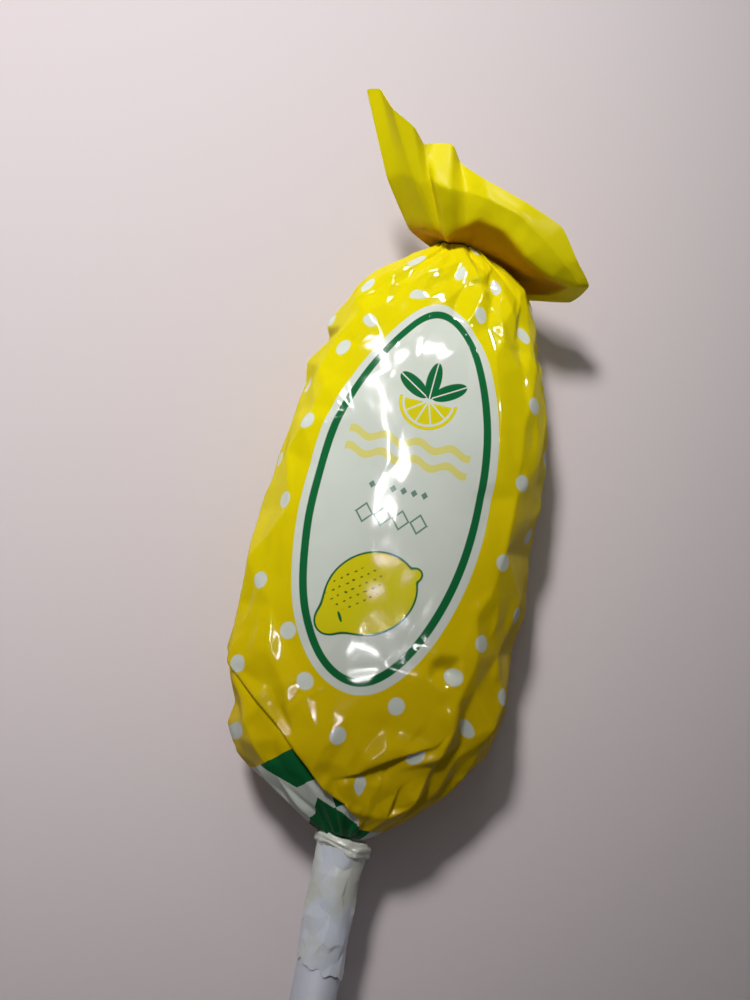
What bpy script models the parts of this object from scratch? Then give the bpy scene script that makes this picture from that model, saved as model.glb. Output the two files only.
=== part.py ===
"""A lollipop in a twisted film wrapper, lying on its flat base with the printed side up.

The stick points along -Y and the flared tail of the wrapper along +Y. The origin is on the base, under the
middle of the sweet. Sizes are in millimetres, and the meshes are made in metres.
"""

import math
import random

import bmesh
import bpy
import numpy as np
from mathutils import Vector
from mathutils.bvhtree import BVHTree
from mathutils.geometry import delaunay_2d_cdt

MM = 0.001

# Stick of rolled paper
STICK_DIAMETER = 4.0
STICK_X = 0.3
STICK_START_Y = -27.7
STICK_END_Y = -92.0
STICK_SIDES = 40
STICK_EDGE = 0.2

# Film body round the sweet
AXIS_HEIGHT = 6.4
RING_POINTS = 60
HALF_RING = RING_POINTS // 2
BODY_STATIONS = 38
ROUND_POWER = 2.1
FLAT_POWER = 2.7
# y, reach to the left of the axis, reach to the right, half thickness
BODY_PROFILE = (
    (-26.9, 1.8, 2.4, 2.2),
    (-26.1, 3.1, 3.2, 3.0),
    (-25.0, 4.9, 5.0, 3.9),
    (-23.5, 7.4, 6.8, 4.7),
    (-21.8, 9.9, 8.7, 5.3),
    (-20.0, 11.2, 9.7, 5.8),
    (-17.0, 12.0, 11.0, 6.2),
    (-13.5, 13.0, 12.5, 6.5),
    (-9.0, 13.2, 12.8, 6.7),
    (-3.0, 12.9, 12.8, 6.8),
    (3.0, 12.5, 12.6, 6.8),
    (10.0, 12.1, 12.4, 6.7),
    (14.0, 11.2, 11.8, 6.4),
    (17.5, 10.0, 11.0, 6.0),
    (21.0, 9.0, 9.8, 5.4),
    (23.6, 7.8, 9.0, 4.7),
    (25.2, 5.4, 8.1, 4.1),
    (26.4, 4.0, 6.8, 3.4),
    (27.6, 2.6, 4.6, 2.7),
    (28.7, 1.7, 2.3, 2.0),
)

# Folds and dents that show on the upper side: x, y and height over the smooth body
DIAGONAL_FOLD = (
    (-12.6, -13.4), (-8.9, -16.6), (-6.3, -18.8), (-5.0, -20.1), (-3.5, -21.4), (-1.8, -23.0), (1.4, -24.8),
)
TUCK_FOLD = ((-1.3, -21.8), (0.6, -21.1), (3.2, -19.4), (6.4, -17.9))
FOLD_LIP = 0.40
FOLD_DROP = -0.35
FOLD_RAMP = 1.3
RELIEF_POINTS = (
    (8.6, -6.2, 0.15),
    (9.0, -9.9, 0.30),
    (7.9, -13.9, 0.50),
    (7.9, -16.1, 0.60),
    (7.4, -18.8, 0.65),
    (5.8, -22.6, 0.55),
    (8.9, -13.0, -0.20),
    (9.2, -15.0, -0.55),
    (9.4, -17.2, -0.60),
    (11.6, -15.2, 0.30),
    (10.3, -18.9, 0.35),
    (6.1, -11.3, -0.50),
    (7.4, -10.2, 0.25),
    (4.9, -12.6, 0.15),
    (6.0, -13.1, 0.25),
    (-8.2, -14.9, 0.20),
    (-6.2, -17.2, -0.35),
    (-4.6, -18.4, 0.20),
    (-11.0, -17.2, -0.10),
    (-9.6, -20.6, 0.35),
    (-6.8, -22.0, -0.20),
    (-11.5, 13.0, -0.55),
    (-10.9, 15.4, 0.40),
    (-9.9, 17.6, -0.45),
    (-9.2, 20.0, 0.35),
    (-11.9, 8.6, -0.45),
    (-12.1, 10.8, 0.30),
    (6.4, 15.6, 0.30),
    (9.9, 8.0, 0.25),
    (10.4, 0.0, 0.15),
)
FILLER_STEP = 4.6
FILLER_JITTER = 1.3
FILLER_HEIGHT = 0.34
FILLER_CLEARANCE = 1.9
FILLER_REACH = 36.0
FILLER_START_Y = -30.0
FILLER_LENGTH = 60.0
LABEL_CENTRE = (-0.6, 3.5)
LABEL_HALF = (8.2, 18.5)
CALM = 0.15
CALM_FROM = 0.9
CALM_TO = 1.3
PLEAT_COUNT = 15
PLEAT_HEIGHT = 0.75
PLEAT_START_Y = 17.0
PLEAT_FULL_Y = 27.0
END_BLEND = 3.0
END_CROWDING = 0.55
CREASE_SEED = 11

# Film gathered on the stick: rolled collar and crinkled sleeve
COLLAR_PROFILE = ((-27.1, 2.35), (-27.3, 2.66), (-27.7, 2.82), (-28.1, 2.76), (-28.35, 2.52))
SLEEVE_START_Y = -28.6
SLEEVE_END_Y = -38.3
SLEEVE_SLANT = 0.65
SLEEVE_RAGGED = 0.30
SLEEVE_RADIUS = 2.48
SLEEVE_CRINKLE = 0.08
SLEEVE_STATIONS = 9
SOCKET_RADIUS = 2.25
SOCKET_BOTTOM_Y = -27.4

# Flared tail: ribs across it, from the left tip to the lip under the right wing. Each rib leaves the neck low,
# turns over at the crest and runs through the wing to the cut edge.
TAIL_FOOT = (
    (-2.9, 28.9, 6.5), (-2.0, 29.2, 6.8), (-1.6, 29.4, 7.2), (-1.0, 29.6, 7.5), (-0.5, 29.6, 8.0),
    (0.2, 29.7, 8.2), (0.9, 29.6, 8.2), (2.4, 29.4, 7.8), (4.5, 28.6, 7.3), (7.1, 27.5, 6.8),
    (9.0, 26.9, 6.2), (7.3, 26.7, 5.5), (4.3, 27.3, 5.2),
)
TAIL_CREST = (
    (-4.2, 29.5, 8.0), (-3.3, 29.3, 8.7), (-2.4, 29.2, 9.4), (-1.5, 29.3, 9.9), (-0.6, 29.6, 10.5),
    (0.1, 29.7, 10.8), (0.8, 29.7, 11.2), (2.3, 29.6, 12.5), (5.0, 28.2, 13.0), (8.6, 26.9, 11.0),
    (11.2, 26.5, 8.0), (9.6, 26.4, 5.7), (6.8, 26.4, 5.0),
)
TAIL_WING = (
    (-7.0, 33.1, 10.5), (-6.2, 33.8, 11.5), (-4.7, 33.3, 12.0), (-2.7, 32.9, 11.2), (-1.6, 32.1, 14.0),
    (-0.5, 32.2, 14.0), (0.6, 32.0, 12.3), (3.4, 30.2, 15.3), (6.3, 28.9, 14.8), (9.9, 27.3, 12.5),
    (12.5, 26.6, 8.0), (11.1, 26.1, 5.2), (7.5, 25.9, 4.6),
)
TAIL_EDGE = (
    (-10.2, 39.9, 13.0), (-8.9, 39.9, 13.5), (-6.1, 37.4, 14.0), (-4.1, 35.7, 12.5), (-2.1, 33.8, 18.0),
    (-0.7, 33.5, 17.0), (-0.2, 34.0, 14.0), (4.2, 31.2, 16.5), (7.4, 30.0, 15.5), (11.0, 28.3, 12.5),
    (13.6, 26.7, 8.0), (12.2, 25.9, 5.0), (8.2, 25.6, 4.5),
)
TAIL_TABLES = (TAIL_FOOT, TAIL_CREST, TAIL_WING, TAIL_EDGE)
TAIL_STATIONS = 12
TAIL_BACK = (0.05, 0.38, -0.92)
TAIL_GAP = 1.2
TAIL_GAP_AT_NECK = 2.4


def remove_objects():
    for old in list(bpy.data.objects):
        bpy.data.objects.remove(old, do_unlink=True)


def make_material(name, colour, roughness):
    material = bpy.data.materials.new(name)
    material.use_nodes = True
    shader = material.node_tree.nodes["Principled BSDF"]
    shader.inputs["Base Color"].default_value = (*colour, 1.0)
    shader.inputs["Roughness"].default_value = roughness
    shader.inputs["Metallic"].default_value = 0.0
    return material


def profile_at(y):
    """Left reach, right reach and half thickness of the body at y, on a smooth curve through BODY_PROFILE."""
    stations = np.array([row[0] for row in BODY_PROFILE])
    values = np.array([row[1:] for row in BODY_PROFILE])
    slopes = np.gradient(values, stations, axis=0)
    k = int(np.clip(np.searchsorted(stations, y) - 1, 0, len(stations) - 2))
    width = stations[k + 1] - stations[k]
    f = (y - stations[k]) / width
    start = values[k] * (1 + 2 * f) * (1 - f) ** 2 + slopes[k] * width * f * (1 - f) ** 2
    end = values[k + 1] * f * f * (3 - 2 * f) - slopes[k + 1] * width * f * f * (1 - f)
    return start + end


def section_curve(y, count=720):
    """x and z of a fine closed section at y, from the left side over the top, and its length so far."""
    left, right, thick = profile_at(y)
    blend = min(1.0, thick / 6.0)
    power = ROUND_POWER + (FLAT_POWER - ROUND_POWER) * blend**2
    angle = math.pi - np.linspace(0.0, 2 * math.pi, count + 1)
    c, s = np.cos(angle), np.sin(angle)
    x = (right - left) / 2 + (right + left) / 2 * np.sign(c) * np.abs(c) ** (2 / power)
    z = thick * np.sign(s) * np.abs(s) ** (2 / power)
    length = np.concatenate(([0.0], np.cumsum(np.hypot(np.diff(x), np.diff(z)))))
    return x, z, length


def section_points(y):
    """RING_POINTS places on the section, evenly spaced from left to right over the top and back below.

    Each is x, z, the outward direction, and the place on the film round the body, which is 0 at the top and
    grows to the right.
    """
    x, z, length = section_curve(y)
    middle = len(x) // 2
    upper = np.linspace(0.0, length[middle], HALF_RING, endpoint=False)
    lower = np.linspace(length[middle], length[-1], HALF_RING, endpoint=False)
    along = np.concatenate((upper, lower))
    normal_x = -np.interp(along, length, np.gradient(z))
    normal_z = np.interp(along, length, np.gradient(x))
    size = np.hypot(normal_x, normal_z)
    around = along - length[middle] / 2
    around = np.where(around > length[-1] / 2, around - length[-1], around)
    return np.interp(along, length, x), np.interp(along, length, z), normal_x / size, normal_z / size, around


def film_place(x, y):
    """The place round the film of a point on the upper side."""
    xs, _, length = section_curve(y)
    middle = len(xs) // 2
    return float(np.interp(x, xs[: middle + 1], length[: middle + 1])) - length[middle] / 2


def label_calm(around, y):
    """Small inside the printed oval, where the film lies smooth on the sweet, and 1 away from it."""
    reach = math.hypot((around - LABEL_CENTRE[0]) / LABEL_HALF[0], (y - LABEL_CENTRE[1]) / LABEL_HALF[1])
    return CALM + (1 - CALM) * min(1.0, max(0.0, (reach - CALM_FROM) / (CALM_TO - CALM_FROM)))


def fold_points(route, side):
    """A lip along the route and the lower film beside it, on the side that side gives."""
    points = []
    for k, (x, y) in enumerate(route):
        before = Vector(route[max(k - 1, 0)])
        after = Vector(route[min(k + 1, len(route) - 1)])
        run = (after - before).normalized()
        fade = 0.5 if k in (0, len(route) - 1) else 1.0
        points.append((x, y, FOLD_LIP * fade))
        points.append((x + side * run.y * FOLD_RAMP, y - side * run.x * FOLD_RAMP, FOLD_DROP * fade))
    return points


def crease_surface():
    """A surface of flat triangles over the film's plan, whose height is the relief of the film."""
    draw = random.Random(CREASE_SEED)
    named = list(RELIEF_POINTS) + fold_points(DIAGONAL_FOLD, 1) + fold_points(TUCK_FOLD, 1)
    points = [(film_place(x, y), y, height) for x, y, height in named]
    fixed = len(points)
    rows = math.ceil(FILLER_LENGTH / FILLER_STEP)
    columns = math.ceil(2 * FILLER_REACH / FILLER_STEP)
    for row in range(rows + 1):
        for column in range(columns + 1):
            staggered = (column + 0.5 * (row % 2)) * FILLER_STEP
            around = -FILLER_REACH + staggered + draw.uniform(-FILLER_JITTER, FILLER_JITTER)
            y = FILLER_START_Y + row * FILLER_STEP + draw.uniform(-FILLER_JITTER, FILLER_JITTER)
            height = draw.uniform(-1.0, 1.0) * FILLER_HEIGHT * label_calm(around, y)
            if min(math.hypot(around - p[0], y - p[1]) for p in points[:fixed]) > FILLER_CLEARANCE:
                points.append((around, y, height))
    flat = [Vector((p[0], p[1])) for p in points]
    _, _, faces, source, _, _ = delaunay_2d_cdt(flat, [], [], 0, 1e-5)
    spots = [Vector(points[origin[0]]) for origin in source]
    return BVHTree.FromPolygons(spots, faces)


def make_pleats(seed):
    """Valleys between the pleats, as places from 0 to 1 round the ring, and the height of the pleat after each."""
    draw = random.Random(seed)
    return [((k + draw.uniform(0.0, 0.7)) / PLEAT_COUNT, draw.uniform(0.25, 1.0)) for k in range(PLEAT_COUNT)]


def pleat_height(share, y, pleats):
    """Pleats that run together into the neck or the stick. share is the place round the ring, from -1 to 1."""
    strength = max(0.0, (abs(y) - PLEAT_START_Y) / (PLEAT_FULL_Y - PLEAT_START_Y)) ** 1.6
    turn = (share + 1) / 2
    k = max((i for i in range(len(pleats)) if pleats[i][0] <= turn), default=-1)
    first = pleats[k][0] - (1 if k < 0 else 0)
    last = pleats[k + 1][0] if k + 1 < len(pleats) else pleats[0][0] + 1
    f = (turn - first) / (last - first)
    return PLEAT_HEIGHT * pleats[k][1] * strength * (0.5 - abs(2 * f - 1))


def body_rings():
    """Rings of the creased film body, from the stick end to the neck."""
    creases = crease_surface()
    stick_pleats = make_pleats(CREASE_SEED + 1)
    neck_pleats = make_pleats(CREASE_SEED + 2)
    first, last = BODY_PROFILE[0][0], BODY_PROFILE[-1][0]
    rings = []
    for k in range(BODY_STATIONS):
        share = k / (BODY_STATIONS - 1)
        crowded = (1 - math.cos(math.pi * share)) / 2
        y = first + (last - first) * (END_CROWDING * crowded + (1 - END_CROWDING) * share)
        x, z, normal_x, normal_z, around = section_points(y)
        half_length = abs(around).max()
        ring = []
        for i in range(RING_POINTS):
            hit = creases.ray_cast(Vector((around[i], y, 50.0)), Vector((0.0, 0.0, -1.0)))[0]
            near_end = max(0.0, 1 - min(y - first, last - y) / END_BLEND)
            lift = (hit.z if hit else 0.0) * (1 - near_end)
            pleats = neck_pleats if y > 0 else stick_pleats
            lift += pleat_height(around[i] / half_length, y, pleats) * (1 - 0.5 * near_end)
            height = AXIS_HEIGHT + z[i] + lift * normal_z[i]
            ring.append((x[i] + lift * normal_x[i], y, max(0.0, height)))
        rings.append(ring)
    return rings


def round_ring(radius, end_y, start_y=None, share=1.0, crinkle=0.0, seed=0):
    """A ring round the stick. With start_y it lies at share of the way to an end that slants and is ragged."""
    draw = random.Random(seed)
    ring = []
    for i in range(RING_POINTS):
        angle = math.pi - 2 * math.pi * i / RING_POINTS
        wobble = draw.uniform(-1.0, 1.0)
        r = radius + crinkle * wobble
        y = end_y
        if start_y is not None:
            ragged = SLEEVE_RAGGED * math.sin(5 * angle + 1.0) * math.cos(3 * angle)
            slanted_end = end_y - SLEEVE_SLANT * math.cos(angle) + ragged
            y = start_y + share * (slanted_end - start_y)
        ring.append((STICK_X + r * math.cos(angle), y, AXIS_HEIGHT + r * math.sin(angle)))
    return ring


def sleeve_rings():
    """Rings of the socket for the stick, then outside it the sleeve and the rolled collar."""
    rings = [round_ring(SOCKET_RADIUS, SOCKET_BOTTOM_Y)]
    rings.append(round_ring(SOCKET_RADIUS, SLEEVE_END_Y, SLEEVE_START_Y, 0.5))
    rings.append(round_ring(SOCKET_RADIUS, SLEEVE_END_Y, SLEEVE_START_Y, 1.0))
    for k in range(SLEEVE_STATIONS, -1, -1):
        share = k / SLEEVE_STATIONS
        rings.append(round_ring(SLEEVE_RADIUS, SLEEVE_END_Y, SLEEVE_START_Y, share, SLEEVE_CRINKLE, 100 + k))
    for y, radius in reversed(COLLAR_PROFILE):
        rings.append(round_ring(radius, y))
    return rings


def rib_places():
    """Where the points of half a ring lie across the tail's ribs, so that each rib is met."""
    edge = [Vector(p) for p in TAIL_EDGE]
    lengths = [(b - a).length for a, b in zip(edge, edge[1:])]
    spare = HALF_RING - len(lengths)
    counts = [1 + int(spare * size / sum(lengths)) for size in lengths]
    while sum(counts) < HALF_RING:
        coarsest = max(range(len(lengths)), key=lambda j: lengths[j] / counts[j])
        counts[coarsest] += 1
    places = [j + step / count for j, count in enumerate(counts) for step in range(count)]
    return places + [float(len(lengths))]


def on_ribs(table, place):
    j = min(int(place), len(table) - 2)
    return Vector(table[j]).lerp(Vector(table[j + 1]), place - j)


def spline(points, f):
    """A point at f from 0 to 1 on a smooth curve through the points."""
    spot = f * (len(points) - 1)
    k = min(int(spot), len(points) - 2)
    f = spot - k
    before, a, b, after = points[max(k - 1, 0)], points[k], points[k + 1], points[min(k + 2, len(points) - 1)]
    bend = a * 2 + (b - before) * f + (before * 2 - a * 5 + b * 4 - after) * f**2
    return (bend + (a * 3 - before - b * 3 + after) * f**3) / 2


def tail_rings(neck):
    """Rings of the flattened tail, from just past the neck ring to the cut edge."""
    places = rib_places()
    back = Vector(TAIL_BACK).normalized()
    neck = [Vector(p) for p in neck]
    rings = []
    for step in range(1, TAIL_STATIONS + 1):
        share = step / TAIL_STATIONS
        ring = []
        for i in range(RING_POINTS):
            over = i if i <= HALF_RING else RING_POINTS - i
            place = places[over]
            gap = TAIL_GAP + (TAIL_GAP_AT_NECK - TAIL_GAP) * (1 - share) ** 2
            shift = back * (gap if i > HALF_RING else 0.0)
            controls = [neck[i]] + [on_ribs(t, place) + shift for t in TAIL_TABLES]
            ring.append(tuple(spline(controls, share)))
        rings.append(ring)
    return rings


def make_wrapper(collection, material):
    body = body_rings()
    rings = sleeve_rings() + body + tail_rings(body[-1])
    bm = bmesh.new()
    verts = [[bm.verts.new(Vector(p) * MM) for p in ring] for ring in rings]
    for lower, upper in zip(verts, verts[1:]):
        for i in range(RING_POINTS):
            j = (i + 1) % RING_POINTS
            bm.faces.new((lower[i], lower[j], upper[j], upper[i]))
    bm.faces.new(reversed(verts[0]))
    edge = verts[-1]
    for i in range(HALF_RING):
        behind = edge[(RING_POINTS - i - 1) % RING_POINTS], edge[(RING_POINTS - i) % RING_POINTS]
        corners = dict.fromkeys((edge[i], edge[i + 1], *behind))
        bm.faces.new(list(corners))
    bmesh.ops.triangulate(bm, faces=bm.faces[:])
    bmesh.ops.recalc_face_normals(bm, faces=bm.faces[:])
    mesh = bpy.data.meshes.new("wrapper")
    bm.to_mesh(mesh)
    bm.free()
    mesh.materials.append(material)
    wrapper = bpy.data.objects.new("wrapper", mesh)
    collection.objects.link(wrapper)
    return wrapper


def make_stick(collection, material):
    length = STICK_START_Y - STICK_END_Y
    bpy.ops.mesh.primitive_cylinder_add(
        vertices=STICK_SIDES,
        radius=STICK_DIAMETER / 2 * MM,
        depth=length * MM,
        location=(STICK_X * MM, (STICK_START_Y + STICK_END_Y) / 2 * MM, AXIS_HEIGHT * MM),
        rotation=(math.pi / 2, 0.0, 0.0),
    )
    stick = bpy.context.object
    stick.name = "stick"
    stick.data.name = "stick"
    stick.data.materials.append(material)
    for holder in list(stick.users_collection):
        holder.objects.unlink(stick)
    collection.objects.link(stick)
    edge = stick.modifiers.new("edge", "BEVEL")
    edge.width = STICK_EDGE * MM
    edge.segments = 1
    edge.limit_method = "ANGLE"
    edge.angle_limit = math.radians(60)
    stick.data.shade_smooth()
    stick.data.set_sharp_from_angle(angle=math.radians(40))
    return stick


def main():
    remove_objects()
    collection = bpy.data.collections.new("wrapped_lollipop")
    bpy.context.scene.collection.children.link(collection)
    make_wrapper(collection, make_material("wrapper_film", (0.79, 0.66, 0.01), 0.25))
    make_stick(collection, make_material("stick_paper", (0.80, 0.80, 0.83), 0.6))


main()
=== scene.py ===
import math
import random

import bpy
import numpy as np
from mathutils import Matrix, Vector
from mathutils.bvhtree import BVHTree
from mathutils.geometry import delaunay_2d_cdt


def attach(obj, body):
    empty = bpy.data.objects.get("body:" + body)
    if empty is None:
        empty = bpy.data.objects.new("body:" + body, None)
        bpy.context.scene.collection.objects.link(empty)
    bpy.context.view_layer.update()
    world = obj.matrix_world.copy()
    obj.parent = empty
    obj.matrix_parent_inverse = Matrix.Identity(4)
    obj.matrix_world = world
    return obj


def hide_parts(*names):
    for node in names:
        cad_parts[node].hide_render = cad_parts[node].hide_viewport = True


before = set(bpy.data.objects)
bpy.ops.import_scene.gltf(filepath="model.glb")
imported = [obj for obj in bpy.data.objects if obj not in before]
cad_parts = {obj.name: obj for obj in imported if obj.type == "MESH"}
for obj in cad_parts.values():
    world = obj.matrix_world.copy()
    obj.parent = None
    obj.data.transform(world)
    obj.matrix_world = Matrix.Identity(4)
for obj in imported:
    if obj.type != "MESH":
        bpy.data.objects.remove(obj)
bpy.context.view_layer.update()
mm = 0.001  # the values below are in millimetres, the scene in metres
mapSize = 100.0  # how much of the flat film its map spans


# Small helpers for objects

def deselectAll():
    for thing in bpy.context.selected_objects:
        thing.select_set(False)


def pick(thing):
    deselectAll()
    thing.select_set(True)
    bpy.context.view_layer.objects.active = thing


def newest(name):
    thing = bpy.context.object
    thing.name = name
    thing.data.name = name
    return thing


def verticesOf(thing):
    places = np.zeros(len(thing.data.vertices) * 3)
    thing.data.vertices.foreach_get("co", places)
    return places.reshape(-1, 3)


def addGrid(name, columns, rows):
    deselectAll()
    bpy.ops.mesh.primitive_grid_add(x_subdivisions=columns, y_subdivisions=rows, size=2)
    grid = newest(name)
    places = verticesOf(grid)
    return grid, places[:, 0], places[:, 1]


def moveVertices(thing, places):
    thing.data.vertices.foreach_set("co", (np.asarray(places) * mm).ravel())
    thing.data.update()


def giveMap(thing, places, others=None, share=None):  # with the middle at 0.5
    layer = thing.data.uv_layers.active or thing.data.uv_layers.new(name="filmMap")
    layer.name = "filmMap"
    corner = np.zeros(len(thing.data.loops), dtype=np.int64)
    thing.data.loops.foreach_get("vertex_index", corner)
    pairs = np.stack(places, axis=1)[corner]
    if others is not None:  # a face takes its other map where most of its corners do
        quads = share[corner].reshape(-1, 4).mean(axis=1) > 0.5
        pairs = np.where(np.repeat(quads, 4)[:, None], np.stack(others, axis=1)[corner], pairs)
    layer.data.foreach_set("uv", (pairs / mapSize + 0.5).ravel())


def closeSeam(thing, reach=0.004):
    pick(thing)
    bpy.ops.object.mode_set(mode="EDIT")
    bpy.ops.mesh.select_all(action="SELECT")
    bpy.ops.mesh.remove_doubles(threshold=reach * mm)
    bpy.ops.mesh.normals_make_consistent(inside=False)
    bpy.ops.object.mode_set(mode="OBJECT")


def closeEnds(thing):  # open rims get a face
    pick(thing)
    bpy.ops.object.mode_set(mode="EDIT")
    bpy.ops.mesh.select_mode(type="EDGE")
    bpy.ops.mesh.select_all(action="DESELECT")
    bpy.ops.mesh.select_non_manifold(extend=False)
    bpy.ops.mesh.edge_face_add()
    bpy.ops.mesh.select_mode(type="VERT")
    bpy.ops.object.mode_set(mode="OBJECT")


def shadeSmooth(thing, angle=50):
    pick(thing)
    bpy.ops.object.shade_smooth_by_angle(angle=math.radians(angle))


def giveWall(thing, thickness):
    wall = thing.modifiers.new("wall", "SOLIDIFY")
    wall.thickness = thickness * mm
    wall.offset = -1
    wall.use_even_offset = False
    pick(thing)
    bpy.ops.object.modifier_apply(modifier="wall")


# Print on the film: sizes on the flat film, and inks

inks = {
    "yellow": (0.84, 0.71, 0.003, 1),
    # painted shade: the deeper orange yellow that the ink turns toward the low right
    "paintedShadeYellow": (0.80, 0.50, 0.003, 1),
    "white": (0.75, 0.79, 0.70, 1),
    "green": (0.010, 0.155, 0.045, 1),
    "greyGreen": (0.16, 0.28, 0.22, 1),
    "lemon": (0.80, 0.70, 0.01, 1),
    "pore": (0.12, 0.15, 0.01, 1),
    "paleYellow": (0.80, 0.74, 0.22, 1),
}

filmPrint = {
    "turn": -2.5,
    "centre": (-0.5, 3.2),
    "oval": (7.65, 17.3),
    "ring": 0.70,
    "rim": 0.72,
    "spotRadius": 0.76,
    "sidePull": (-1.7, 2.4),  # film taken up by the creases beside the label
    "pullFrom": (6.6, 8.2),
    "pullLow": (-18.0, -14.0),
    "spotStep": (8.3, 7.4),
    "spotStart": (2.9, -15.1),
    "spotTurn": -4.8,
    "endStart": -26.0,
    "block": (7.7, 3.1),
    "hem": (2.1, -24.7),
    "hemTurn": -54.0,
    "hemBlock": (6.36, -30.8),
    "hemBlockTurn": 56.5,
    "farEnd": 29.2,
}


# Film body round the sweet

filmBody = {
    "columns": 384,
    "rows": 256,
    "axisHeight": 6.4,
    "filmHalfWidth": 32.5,  # half of the film's way round the sweet
    "roundPower": 2.1,
    "flatPower": 2.7,
    "edgePower": 1.6,  # the film comes to a blunt edge at the sides
    "edgeBlend": 0.8,
    "fullThick": 6.0,
    "outline": 1440,
    "denseTop": 0.2,
    "denseEnds": 0.18,
    # y, reach to the left, reach to the right, half thickness
    "profile": [
        (-26.9, 1.8, 2.4, 2.2),
        (-26.1, 3.1, 3.2, 3.0),
        (-25.0, 4.9, 5.0, 3.9),
        (-23.5, 7.4, 6.8, 4.7),
        (-21.8, 9.9, 8.7, 5.3),
        (-20.0, 11.2, 9.7, 5.8),
        (-17.0, 12.0, 12.0, 6.2),
        (-15.3, 12.6, 12.8, 6.35),
        (-13.5, 13.0, 12.8, 6.5),
        (-9.0, 13.2, 12.8, 6.7),
        (-3.0, 12.9, 12.8, 6.8),
        (3.0, 12.5, 12.6, 6.8),
        (10.0, 12.1, 12.4, 6.7),
        (14.0, 11.2, 11.8, 6.4),
        (17.5, 10.0, 11.0, 6.0),
        (21.0, 9.0, 9.8, 5.4),
        (23.6, 7.8, 9.0, 4.7),
        (25.2, 5.4, 8.1, 4.1),
        (26.4, 4.0, 6.8, 3.4),
        (27.6, 2.6, 4.6, 2.7),
        (28.7, 1.2, 2.8, 2.0),
    ],
    "labelCentre": (-0.6, 3.5),
    "labelReach": (8.4, 18.4),
}

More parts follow.
